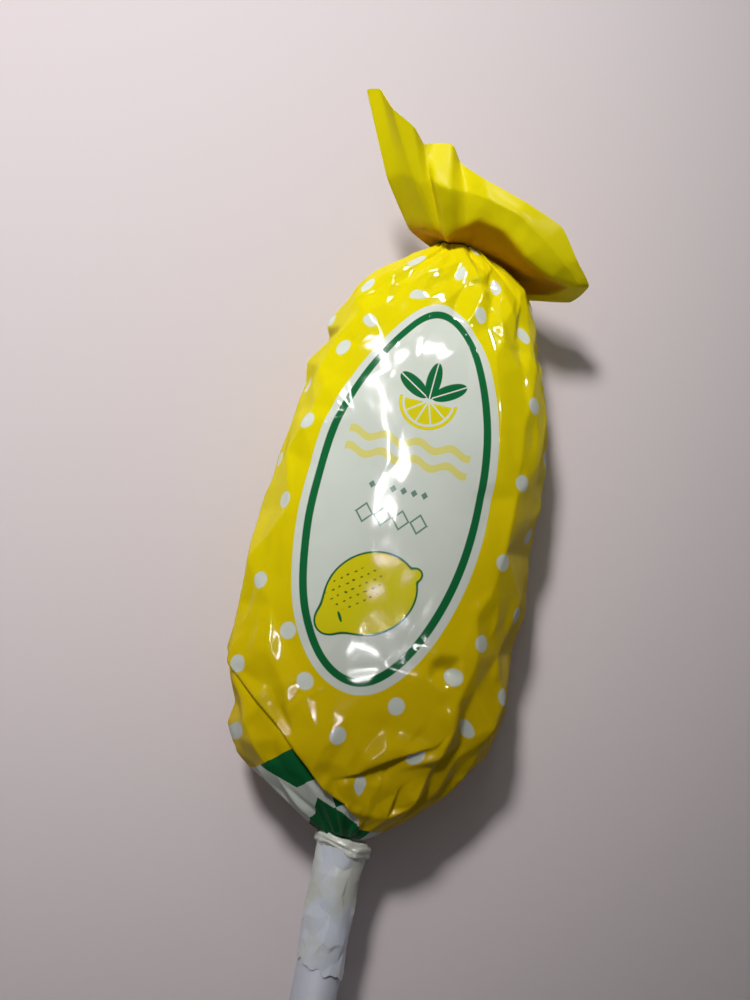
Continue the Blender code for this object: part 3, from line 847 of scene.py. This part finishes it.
def newGroup(name, inputs, outputs):
    group = bpy.data.node_groups.new(name, "ShaderNodeTree")
    for label, kind, value in inputs:
        socket = group.interface.new_socket(name=label, in_out="INPUT", socket_type=kind)
        if value is not None:
            socket.default_value = value
    for label, kind in outputs:
        group.interface.new_socket(name=label, in_out="OUTPUT", socket_type=kind)
    desk = NodeDesk(group)
    return group, desk, desk.add("NodeGroupInput"), desk.add("NodeGroupOutput")


def ellipseDistance(desk, x, y, halfX, halfY):
    share = lengthOf(desk, desk.over(x, halfX), desk.over(y, halfY))
    slope = lengthOf(desk, desk.over(x, halfX**2), desk.over(y, halfY**2))
    return desk.over(desk.times(share, desk.minus(share, 1.0)), desk.math("MAXIMUM", slope, 0.001))


def lengthOf(desk, x, y):
    return desk.math("SQRT", desk.plus(desk.times(x, x), desk.times(y, y)))


def turned(desk, x, y, centre, degrees):
    c, s = math.cos(math.radians(degrees)), math.sin(math.radians(degrees))
    dx, dy = desk.minus(x, centre[0]), desk.minus(y, centre[1])
    across = desk.plus(desk.times(dx, c), desk.times(dy, s))
    along = desk.minus(desk.times(dy, c), desk.times(dx, s))
    return across, along


def spotDistance(desk, x, y, offset):
    stepX, stepY = filmPrint["spotStep"]
    cellX = desk.math("FLOOR", desk.plus(desk.over(x, stepX), offset))
    cellY = desk.math("FLOOR", desk.plus(desk.over(y, stepY), offset))
    midX = desk.times(desk.plus(cellX, 0.5 - offset), stepX)
    midY = desk.times(desk.plus(cellY, 0.5 - offset), stepY)
    dx, dy = desk.minus(x, midX), desk.minus(y, midY)
    return desk.minus(lengthOf(desk, dx, dy), filmPrint["spotRadius"]), midX, midY


def printGroup():
    # the second input is how much painted shade the yellow takes
    group, desk, source, result = newGroup(
        "filmPrint", [("Film Map", "NodeSocketVector", None), ("Depth", "NodeSocketFloat", 0.0)],
        [("Colour", "NodeSocketColor")],
    )
    flat = desk.parts(source.outputs[0])
    filmX, filmY = (desk.math("MULTIPLY_ADD", place, mapSize, -mapSize / 2) for place in flat[:2])
    x, y = turned(desk, filmX, filmY, filmPrint["centre"], filmPrint["turn"])
    oval = ellipseDistance(desk, x, y, *filmPrint["oval"])

    # white spots, none under the oval and none on the ends
    pullShare = desk.ramp(filmY, *filmPrint["pullLow"])
    halfX, halfY = (half + filmPrint["rim"] for half in filmPrint["oval"])
    spots = 0.0
    for pull, offset in [(pull, offset) for pull in (0.0, *filmPrint["sidePull"]) for offset in (0.5, 0.0)]:
        movedX = desk.math("MULTIPLY_ADD", pullShare, pull, filmX)
        spotX, spotY = turned(desk, movedX, filmY, filmPrint["spotStart"], filmPrint["spotTurn"])
        apart, midX, midY = spotDistance(desk, spotX, spotY, offset)
        backX, backY = turned(desk, midX, midY, (0.0, 0.0), -filmPrint["spotTurn"])
        fromX = desk.plus(backX, filmPrint["spotStart"][0] - filmPrint["centre"][0])
        fromY = desk.plus(backY, filmPrint["spotStart"][1] - filmPrint["centre"][1])
        clear = ellipseDistance(desk, fromX, fromY, *filmPrint["oval"])
        shown = desk.math("GREATER_THAN", clear, filmPrint["rim"] + 0.25)
        ended = desk.math("GREATER_THAN", fromY, filmPrint["endStart"] + 1.0 - filmPrint["centre"][1])
        # a spot belongs wholly to the middle or wholly to one side
        share = desk.over(fromY, halfY)
        left = desk.minus(1.0, desk.times(share, share))
        bow = desk.times(desk.math("SQRT", desk.math("MAXIMUM", left, 0.0)), halfX)
        edges = [desk.math("MAXIMUM", bow, start) for start in filmPrint["pullFrom"]]
        leftwards = desk.times(fromX, -1.0)
        if pull:
            reach = desk.math("MULTIPLY_ADD", pullShare, abs(pull), edges[pull > 0])
            kept = desk.math("GREATER_THAN", fromX if pull > 0 else leftwards, reach)
        else:
            kept = desk.math("LESS_THAN", leftwards, edges[0])
            kept = desk.times(kept, desk.math("LESS_THAN", fromX, edges[1]))
        one = desk.times(desk.inside(apart, 0.14), desk.times(shown, ended))
        one = desk.times(one, kept)
        spots = desk.math("MAXIMUM", spots, one)
    # painted shade: the yellow ink is mixed toward the shaded orange yellow by the second input
    colour = desk.mix(spots, desk.mix(source.outputs[1], inks["yellow"], inks["paintedShadeYellow"]), inks["white"])

    # green and white blocks on the end at the stick
    past = desk.minus(filmPrint["endStart"], filmY)
    blockX, blockY = filmPrint["block"]
    column = desk.math("FLOOR", desk.over(desk.plus(filmX, blockX), blockX))
    row = desk.math("FLOOR", desk.over(past, blockY))
    odd = desk.math("FLOORED_MODULO", desk.plus(column, row), 2.0)
    # past the hem the sheet is folded once more and shows other blocks
    _, overHem = turned(desk, filmX, filmY, filmPrint["hem"], filmPrint["hemTurn"])
    _, overBlock = turned(desk, filmX, filmY, filmPrint["hemBlock"], filmPrint["hemBlockTurn"])
    odd = desk.blend(desk.math("LESS_THAN", overHem, 0.0), odd, desk.math("LESS_THAN", overBlock, 0.0))
    ending = desk.mix(desk.math("GREATER_THAN", odd, 0.5), inks["white"], inks["green"])
    colour = desk.mix(desk.math("GREATER_THAN", past, 0.0), colour, ending)
    colour = desk.mix(desk.math("GREATER_THAN", filmY, filmPrint["farEnd"]), colour, inks["green"])

    # oval label: white rim, green ring, white field
    colour = desk.mix(desk.inside(desk.minus(oval, filmPrint["rim"])), colour, inks["white"])
    colour = desk.mix(desk.inside(oval), colour, inks["green"])
    field = desk.inside(desk.plus(oval, filmPrint["ring"]))
    colour = desk.mix(field, colour, inks["white"])
    colour = labelDrawing(desk, colour, x, y)
    desk.plug(result.inputs[0], colour)
    return group


labelArt = {
    "fruitCentre": (-0.1, -9.2),
    "fruitTurn": 38,
    "fruitHalf": (3.95, 3.45),
    # x, y, radius and how softly it runs into the fruit
    "fruitEnds": [(-4.35, -0.65, 0.95, 2.6), (4.1, -0.15, 0.5, 0.5)],
    "fruitLine": 0.17,
    "tick": (-3.2, -0.75),
    "tickTurn": -8,
    "tickHalf": (0.13, 0.5),
    "poreCell": 0.66,
    "poreRadius": 0.19,
    "poreShift": 0.37,
    "poreStretch": 1.6,
    "poreWander": 0.9,
    "porePatch": (-1.1, 1.0),
    "porePatchHalf": (2.6, 1.6),
    "sliceCentre": (0.7, 8.7),
    "sliceRadius": 2.75,
    "rind": 0.3,
    "pith": 0.52,
    "wedges": 5,
    "wedgeGap": 0.12,
    "cutGap": 0.2,
    "leaf": (1.75, 0.72),
    "vein": 0.06,
    # places from the middle of the slice, and turns
    "leaves": [(-1.75, 1.15, 150), (0.0, 1.90, 90), (1.75, 1.15, 30)],
    "waveY": (4.55, 2.95),
    "waveHalf": 0.36,
    "waveReach": 5.6,
    "waveHeight": 0.28,
    "wavePace": 2.1,
    "smallBeads": {"y": 0.2, "step": 0.95, "size": 0.36, "inner": 0.0, "reach": 2.85},
    "largeBeads": {"y": -2.4, "step": 1.62, "size": 0.95, "inner": 0.72, "reach": 3.3},
}


def labelDrawing(desk, colour, x, y):
    art = labelArt

    # lemon with an outline, a blunt tip, a nub and pores
    fx, fy = turned(desk, x, y, art["fruitCentre"], art["fruitTurn"])
    fruit = ellipseDistance(desk, fx, fy, *art["fruitHalf"])
    for tipX, tipY, tipRadius, blend in art["fruitEnds"]:
        offX, offY = desk.minus(fx, tipX), desk.minus(fy, tipY)
        tip = ellipseDistance(desk, offX, offY, tipRadius, tipRadius)
        fruit = desk.math("SMOOTH_MIN", fruit, tip, blend)
    colour = desk.mix(desk.inside(desk.minus(fruit, art["fruitLine"])), colour, inks["green"])
    colour = desk.mix(desk.inside(fruit), colour, inks["lemon"])
    poreX, poreY = desk.over(fx, art["poreCell"]), desk.over(fy, art["poreCell"])
    stagger = desk.times(desk.math("FLOOR", poreY), art["poreShift"])
    across = desk.minus(desk.math("FRACT", desk.plus(poreX, stagger)), 0.5)
    along = desk.times(desk.minus(desk.math("FRACT", poreY), 0.5), art["poreStretch"])
    wander = desk.times(desk.minus(desk.noise(desk.joined(fx, fy), 1.3), 0.5), art["poreWander"])
    across, along = desk.plus(across, wander), desk.minus(along, wander)
    pore = desk.minus(lengthOf(desk, across, along), art["poreRadius"])
    patchX, patchY = desk.minus(fx, art["porePatch"][0]), desk.minus(fy, art["porePatch"][1])
    patch = ellipseDistance(desk, patchX, patchY, *art["porePatchHalf"])
    pores = desk.times(desk.inside(pore, 0.1), desk.inside(patch, 0.2))
    colour = desk.mix(pores, colour, inks["pore"])
    tickX, tickY = turned(desk, fx, fy, art["tick"], art["tickTurn"])
    tick = desk.inside(ellipseDistance(desk, tickX, tickY, *art["tickHalf"]))
    colour = desk.mix(tick, colour, inks["green"])

    # half slice of fruit, round side down, with its rind and wedges
    sx, sy = desk.minus(x, art["sliceCentre"][0]), desk.minus(y, art["sliceCentre"][1])
    radius = lengthOf(desk, sx, sy)
    below = desk.math("LESS_THAN", sy, 0.0)
    for size, ink in ((0.0, "lemon"), (art["rind"], "white")):
        part = desk.times(desk.math("LESS_THAN", radius, art["sliceRadius"] - size), below)
        colour = desk.mix(part, colour, inks[ink])
    angle = desk.over(desk.math("ARCTAN2", sy, sx), math.pi / art["wedges"])
    offSpoke = desk.minus(desk.math("FRACT", desk.plus(angle, 2 * art["wedges"])), 0.5)
    room = desk.times(desk.minus(0.5, desk.math("ABSOLUTE", offSpoke)), radius)
    wedge = desk.math("GREATER_THAN", room, art["wedgeGap"])
    wedge = desk.times(wedge, desk.math("LESS_THAN", sy, -art["cutGap"]))
    wedge = desk.times(wedge, desk.math("LESS_THAN", radius, art["sliceRadius"] - art["pith"]))
    colour = desk.mix(wedge, colour, inks["lemon"])

    # three leaves over it
    for leafX, leafY, turn in art["leaves"]:
        lx, ly = turned(desk, sx, sy, (leafX, leafY), turn)
        leaf = desk.inside(ellipseDistance(desk, lx, ly, *art["leaf"]))
        vein = desk.math("LESS_THAN", desk.math("ABSOLUTE", ly), art["vein"])
        colour = desk.mix(leaf, colour, inks["green"])
        colour = desk.mix(desk.times(leaf, vein), colour, inks["white"])

    # two wavy lines
    wave = desk.times(desk.math("SINE", desk.times(x, art["wavePace"])), art["waveHeight"])
    inReach = desk.math("LESS_THAN", desk.math("ABSOLUTE", x), art["waveReach"])
    for level in art["waveY"]:
        off = desk.math("ABSOLUTE", desk.minus(desk.minus(y, level), wave))
        line = desk.times(desk.inside(desk.minus(off, art["waveHalf"])), inReach)
        colour = desk.mix(line, colour, inks["paleYellow"])

    # two rows of diamonds, the larger ones open
    for row in (art["smallBeads"], art["largeBeads"]):
        bx = desk.minus(desk.math("FRACT", desk.over(x, row["step"])), 0.5)
        bx = desk.math("ABSOLUTE", desk.times(bx, row["step"]))
        by = desk.math("ABSOLUTE", desk.minus(y, row["y"]))
        apart = desk.plus(desk.times(bx, 1.15), by)
        outline = desk.inside(desk.minus(apart, row["size"]))
        shown = desk.times(outline, desk.inside(desk.minus(row["inner"], apart)))
        shown = desk.times(shown, desk.math("LESS_THAN", desk.math("ABSOLUTE", x), row["reach"]))
        colour = desk.mix(shown, colour, inks["greyGreen"])
    return colour


crinkle = {"wobbleScale": 0.6, "wobble": 0.0008, "flatFrom": 0.35, "flatSoft": 0.2,
           "cells": 1.4, "waves": 0.5}


def crinkleGroup():  # fine wrinkles of thin film, as a height from 0 to 1
    group, desk, source, result = newGroup(
        "filmCrinkle", [("Place", "NodeSocketVector", None), ("Scale", "NodeSocketFloat", 900.0)],
        [("Height", "NodeSocketFloat")],
    )
    cells = desk.add("ShaderNodeTexVoronoi", feature="DISTANCE_TO_EDGE")
    wobble = desk.add("ShaderNodeTexNoise")
    desk.plug(wobble.inputs["Vector"], source.outputs[0])
    desk.plug(wobble.inputs["Scale"], desk.times(source.outputs[1], crinkle["wobbleScale"]))
    wobble.inputs["Detail"].default_value = 2.0
    add = desk.add("ShaderNodeVectorMath", operation="MULTIPLY_ADD")
    desk.plug(add.inputs[0], wobble.outputs[1])
    add.inputs[1].default_value = [crinkle["wobble"]] * 3
    desk.plug(add.inputs[2], source.outputs[0])
    desk.plug(cells.inputs["Vector"], add.outputs[0])
    desk.plug(cells.inputs["Scale"], source.outputs[1])
    soft = desk.math("SMOOTH_MIN", cells.outputs[0], crinkle["flatFrom"], crinkle["flatSoft"])
    wide = desk.times(wobble.outputs[0], crinkle["waves"])
    desk.plug(result.inputs[0], desk.math("MULTIPLY_ADD", soft, crinkle["cells"], wide))
    return group


def startMaterial(name):
    material = bpy.data.materials.new(name)
    material.use_nodes = True
    desk = NodeDesk(material.node_tree)
    shader = material.node_tree.nodes["Principled BSDF"]
    return material, desk, shader


filmGrain = {"patchScale": 300.0, "toneScale": 260.0, "toneRange": (0.3, 0.7), "tone": (0.94, 1.0),
             "roughScale": 500.0, "roughDetail": 4.0}


def filmMaterial(name, groups, values, printed):
    material, desk, shader = startMaterial(name)
    place = desk.add("ShaderNodeTexCoord").outputs["Object"]
    filmMap = desk.add("ShaderNodeUVMap", uv_map="filmMap").outputs[0]
    if printed:  # painted shade: the yellow grows deeper and more orange and the film darker toward the low right, broken up by random patches
        parts = desk.parts(place)
        right = desk.times(parts[0], values["lean"][0] / mm)
        lean = desk.plus(right, desk.times(parts[1], values["lean"][1] / mm))
        lean = desk.plus(lean, desk.times(desk.noise(place, values["leanScale"]), values["leanPatches"]))
    else:  # painted shade: the tail is deepest orange and darker in the hollow beside the neck; the sleeve grows yellower and a little darker toward the body end, in random patches
        patches = desk.times(desk.noise(place, filmGrain["patchScale"]), values["patchy"])
        lean = desk.plus(desk.times(desk.parts(filmMap)[1], -mapSize), patches)
    # how much painted shade, with random patches in it, each point takes
    depth = desk.ramp(lean, values["shadeAndToneFrom"], values["shadeAndToneTo"])
    shadeAndToneShare = desk.times(depth, values["depth"])
    if printed:
        colour = desk.use(groups["print"], filmMap, shadeAndToneShare)
    else:
        colour = desk.mix(shadeAndToneShare, values["colour"], values["shadeAndToneColour"])
    tone = desk.noise(place, filmGrain["toneScale"])
    tone = desk.ramp(tone, *filmGrain["toneRange"], *filmGrain["tone"], "LINEAR")
    # painted shade: the film grows darker where that share is high
    tone = desk.times(tone, desk.math("MULTIPLY_ADD", depth, -values["shadeAndToneDarker"], 1.0))
    toneAndShadeGrey = desk.add("ShaderNodeCombineColor")
    for socket in toneAndShadeGrey.inputs[:3]:
        desk.plug(socket, tone)
    shade = desk.add("ShaderNodeMix", data_type="RGBA", blend_type="MULTIPLY")
    shade.inputs[0].default_value = 1.0
    desk.plug(shade.inputs[6], colour)
    desk.plug(shade.inputs[7], toneAndShadeGrey.outputs[0])
    desk.plug(shader.inputs["Base Color"], shade.outputs[2])

    height = desk.use(groups["crinkle"], place, values["crinkleScale"])
    desk.plug(shader.inputs["Normal"], desk.bump(height, values["bump"], values["bumpHeight"]))
    rough = desk.noise(place, filmGrain["roughScale"], filmGrain["roughDetail"])
    rough = desk.math("MULTIPLY_ADD", rough, values["roughSpread"], values["rough"])
    # the film's turned sides mirror less
    rim = desk.ramp(desk.add("ShaderNodeLayerWeight").outputs["Facing"], values["rimFrom"], 1.0)
    rough = desk.math("MULTIPLY_ADD", rim, values["rimRough"], rough)
    desk.plug(shader.inputs["Roughness"], rough)
    shader.inputs["IOR"].default_value = values["ior"]
    return material


filmFinish = {
    "leanScale": 120.0, "leanPatches": 6.0,
    "rough": 0.05, "roughSpread": 0.05, "ior": 1.23, "rimFrom": 0.35, "rimRough": 0.9,
    "crinkleScale": 650.0, "bump": 0.10, "bumpHeight": 0.03,
    # painted shade toward the low right: its direction, where it starts and ends, its strength, and how much
    # darker the film grows
    "lean": (0.55, -0.83), "shadeAndToneFrom": -14.0, "shadeAndToneTo": 26.0, "depth": 0.75, "shadeAndToneDarker": 0.34,
}
tailFinish = {
    # painted shade: the second colour is the deeper orange of the shaded hollow beside the neck
    "colour": (0.86, 0.74, 0.003, 1), "shadeAndToneColour": (0.82, 0.42, 0.003, 1),
    "rough": 0.24, "roughSpread": 0.12, "ior": 1.15, "rimFrom": 0.35, "rimRough": 0.4,
    "crinkleScale": 420.0, "bump": 0.22, "bumpHeight": 0.03,
    # painted shade from the neck to just below the crest, fading out by about half way along the tail
    "patchy": 0.0, "shadeAndToneFrom": -85.6, "shadeAndToneTo": -83.6, "depth": 1.0, "shadeAndToneDarker": 0.35,
}
sleeveFinish = {
    "colour": (0.66, 0.69, 0.77, 1), "shadeAndToneColour": (0.66, 0.67, 0.59, 1),
    "rough": 0.10, "roughSpread": 0.14, "ior": 1.3, "rimFrom": 0.5, "rimRough": 0.2,
    "crinkleScale": 700.0, "bump": 0.5, "bumpHeight": 0.06,
    "patchy": 50.0, "shadeAndToneFrom": -38.0, "shadeAndToneTo": -22.0, "depth": 1.0, "shadeAndToneDarker": 0.08,
}
paperFinish = {
    "colour": (0.60, 0.61, 0.68, 1), "dark": (0.50, 0.51, 0.60, 1), "rough": 0.55,
    "fibreLong": 0.12, "fibreNoise": (2600.0, 5.0, 0.6), "bump": 0.3, "bumpHeight": 0.03,
}


def paperMaterial():
    material, desk, shader = startMaterial("stickPaper")
    place = desk.add("ShaderNodeTexCoord").outputs["Object"]
    stretch = desk.add("ShaderNodeMapping")
    stretch.inputs["Scale"].default_value = (1.0, paperFinish["fibreLong"], 1.0)
    desk.plug(stretch.inputs[0], place)
    fibre = desk.noise(stretch.outputs[0], *paperFinish["fibreNoise"])
    desk.plug(shader.inputs["Base Color"], desk.mix(fibre, paperFinish["dark"], paperFinish["colour"]))
    shader.inputs["Roughness"].default_value = paperFinish["rough"]
    desk.plug(shader.inputs["Normal"], desk.bump(fibre, paperFinish["bump"], paperFinish["bumpHeight"]))
    return material


# Floor, light and camera

viewpoint = {"aim": (-2.5, 3.3, 6.5), "distance": 130.0, "tilt": 10.0, "roll": 10.6, "frameHeight": 92.4,
             "sensor": 36}
floorFinish = {"side": 3.0, "colour": (0.60, 0.528, 0.536, 1), "rough": 0.6, "specular": 0.2}


def makeFloor():
    deselectAll()
    bpy.ops.mesh.primitive_plane_add(size=floorFinish["side"], location=(0, 0, 0))
    floor = newest("floor")
    material, desk, shader = startMaterial("paleFloor")
    shader.inputs["Base Color"].default_value = floorFinish["colour"]
    shader.inputs["Roughness"].default_value = floorFinish["rough"]
    shader.inputs["Specular IOR Level"].default_value = floorFinish["specular"]
    floor.data.materials.append(material)


def viewAxes():
    roll, tilt = math.radians(viewpoint["roll"]), math.radians(viewpoint["tilt"])
    upFlat = Vector((-math.sin(roll), math.cos(roll), 0))
    right = Vector((math.cos(roll), math.sin(roll), 0))
    away = math.cos(tilt) * Vector((0, 0, 1)) - math.sin(tilt) * upFlat
    return right, away.cross(right), away, upFlat


def makeCamera():
    right, up, away, _ = viewAxes()
    data = bpy.data.cameras.new("camera")
    data.sensor_fit = "VERTICAL"
    data.sensor_height = viewpoint["sensor"]
    data.lens = viewpoint["sensor"] * viewpoint["distance"] / viewpoint["frameHeight"]
    data.clip_start = 5 * mm
    camera = bpy.data.objects.new("camera", data)
    bpy.context.scene.collection.objects.link(camera)
    turn = Matrix((right, up, away)).transposed().to_4x4()
    turn.translation = (Vector(viewpoint["aim"]) + away * viewpoint["distance"]) * mm
    camera.matrix_world = turn
    bpy.context.scene.camera = camera


# Places and directions are to the right, up the picture and above the floor.
# The window lights the surfaces softly, and the other lamps are what the glossy film mirrors.
lamps = {
    "window": {"place": (-76, 225, 345), "aim": (-43, 62, 0), "size": 38, "power": 7.7, "cone": 37},
    "tube": {"place": (-15, 122, 390), "size": (2.6, 118), "along": (0.31, -0.95), "power": 0.65},
    "tubeFar": {"place": (-89, 236, 380), "size": (4, 160), "along": (0.68, -0.73), "power": 1.2},
    "lowTube": {"place": (-16, -20, 380), "size": (4, 46), "along": (0.90, 0.42), "power": 0.14},
    "lemonHigh": {"place": (6, 35, 380), "size": (2.5, 3), "along": (1, 0), "power": 0.012},
    "lemonLow": {"place": (5, 8, 380), "size": (2.5, 3), "along": (1, 0), "power": 0.012},
    "blobLeft": {"place": (-28, 224, 380), "size": (6, 12), "along": (1, 0), "power": 0.14},
    "blobRight": {"place": (43, 238, 380), "size": (5, 14), "along": (1, 0.6), "power": 0.12},
    "bulb": {"place": (-190, 170, 330), "size": (12, 18), "along": (1, 0), "power": 0.45},
    "shoulderBulb": {"place": (70, 430, 340), "size": (30, 90), "along": (1, 0), "power": 4.6},
    "sideBulb": {"place": (230, 120, 330), "size": (14, 14), "along": (1, 0), "power": 0.5},
}
room = {"colour": (0.97, 0.97, 1.0, 1), "strength": 0.11}


def makeLamps():
    right, _, _, up = viewAxes()

    def seen(spot):
        return (right * spot[0] + up * spot[1] + Vector((0, 0, spot[2]))) * mm

    for name, lamp in lamps.items():
        kind = "SPOT" if name == "window" else "AREA"
        data = bpy.data.lights.new(name, kind)
        thing = bpy.data.objects.new(name, data)
        bpy.context.scene.collection.objects.link(thing)
        data.energy = lamp["power"]
        if kind == "SPOT":
            data.shadow_soft_size = lamp["size"] * mm
            data.spot_size = math.radians(lamp["cone"])
            data.spot_blend = 1.0
            thing.visible_glossy = False
        else:
            data.shape = "RECTANGLE"
            data.size, data.size_y = lamp["size"][0] * mm, lamp["size"][1] * mm
            thing.visible_diffuse = False
        back = (seen(lamp["place"]) - seen(lamp.get("aim", (0, 0, 8)))).normalized()
        along = seen((*lamp.get("along", (1, 0)), 0))
        side = along.cross(back).normalized()
        thing.matrix_world = Matrix((side, back.cross(side), back)).transposed().to_4x4()
        thing.location = seen(lamp["place"])
    world = bpy.data.worlds.new("room")
    bpy.context.scene.world = world
    world.use_nodes = True
    world.node_tree.nodes["Background"].inputs[0].default_value = room["colour"]
    world.node_tree.nodes["Background"].inputs[1].default_value = room["strength"]
    world.cycles_visibility.glossy = False
    bpy.context.scene.view_settings.view_transform = "Standard"


# Putting it together

groups = {"print": printGroup(), "crinkle": crinkleGroup()}
print("print and crinkle groups made")
bodyPiece = makeFilmBody()
bodyPiece.data.materials.append(filmMaterial("printedFilm", groups, filmFinish, True))
print("film body made")
tailPiece = makeTail()
tailPiece.data.materials.append(filmMaterial("tailFilm", groups, tailFinish, False))
print("tail made")
sleeveMaterial = filmMaterial("whiteFilm", groups, sleeveFinish, False)
for piece in (makeCollar(), makeSleeve()):
    piece.data.materials.append(sleeveMaterial)
print("collar and sleeve made")
stickPiece = makeStick()
stickPiece.data.materials.append(paperMaterial())
print("stick made")
makeFloor()
makeCamera()
makeLamps()
print("floor, camera and lamps made")
